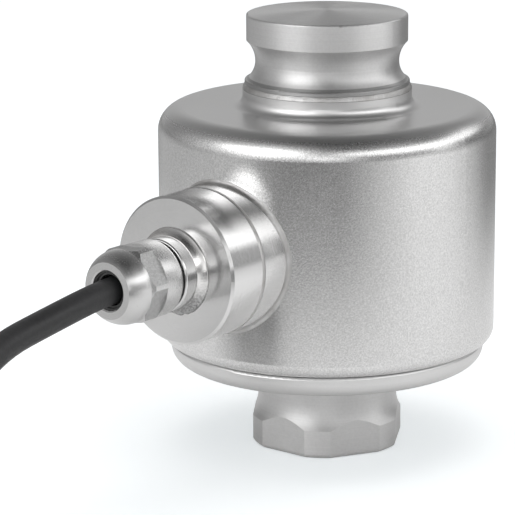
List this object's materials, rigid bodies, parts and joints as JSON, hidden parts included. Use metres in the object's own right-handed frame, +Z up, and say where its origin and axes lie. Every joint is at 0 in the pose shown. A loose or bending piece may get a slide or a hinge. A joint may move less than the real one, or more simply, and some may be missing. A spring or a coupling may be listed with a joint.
{
  "type": "compression load cell",
  "caption": "Canister compression load cell: crowned load button over a welded steel can, hexagonal foot, side cable gland and a coiled signal cable.",
  "frame": {"origin": "centre of the foot's flat underside, on the load axis", "axes": "+Z up along the load axis to the load button, -Y out along the cable boss, +X to the right seen from the cable side"},
  "size_m": [0.1176, 0.2796, 0.1112],
  "materials": {
    "column_steel": "turned satin stainless steel",
    "can_steel": "drawn and brushed stainless steel",
    "cover_steel": "satin stainless steel",
    "weld_steel": "rippled weld bead in stainless steel",
    "boss_steel": "fine turned stainless steel",
    "header_steel": "satin stainless steel",
    "header_glass": "sealing glass",
    "gold_pins": "gold plated",
    "brass_posts": "nickel plated brass",
    "screw_steel": "plated steel",
    "green_board": "solder resist on glass laminate",
    "black_chips": "moulded epoxy",
    "wire_insulation": "extruded insulation",
    "gauge_foil": "polyimide film over etched foil",
    "gland_steel": "polished stainless steel",
    "cage_plastic": "moulded polyamide",
    "seal_rubber": "moulded rubber",
    "cable_jacket": "extruded jacket",
    "tie_plastic": "moulded polyamide",
    "boot_rubber": "heat-shrunk sleeve",
    "ferrule_tin": "tinned copper"
  },
  "bodies": {
    "root": {"load_column": "column_steel", "housing_can": "can_steel", "base_cover": "cover_steel", "collar_weld": "weld_steel", "neck_weld": "weld_steel", "boss_tube": "boss_steel", "saddle_weld": "weld_steel", "boss_cover": "boss_steel", "boss_seam_weld": "weld_steel", "feedthrough_plate": "header_steel", "feedthrough_glass": "header_glass", "feedthrough_pins": "gold_pins", "signal_posts": "brass_posts", "signal_screws": "screw_steel", "signal_board": "green_board", "signal_chips": "black_chips", "signal_wires": "wire_insulation", "board_spacers": "brass_posts", "spacer_screws": "screw_steel", "bridge_board": "green_board", "trim_resistors": "black_chips", "strain_gauges": "gauge_foil", "gauge_terminals": "gold_pins", "gauge_wires": "wire_insulation", "bridge_wires": "wire_insulation", "gland_body": "gland_steel", "gland_weld": "weld_steel", "gland_nut": "gland_steel", "gland_cage": "cage_plastic", "gland_seal": "seal_rubber", "cable_inner_end": "cable_jacket", "cable_run": "cable_jacket", "cable_coil": "cable_jacket", "coil_ties": "tie_plastic", "end_boot": "boot_rubber", "lead_cores": "wire_insulation", "lead_ferrules": "ferrule_tin"}
  },
  "joints": []
}
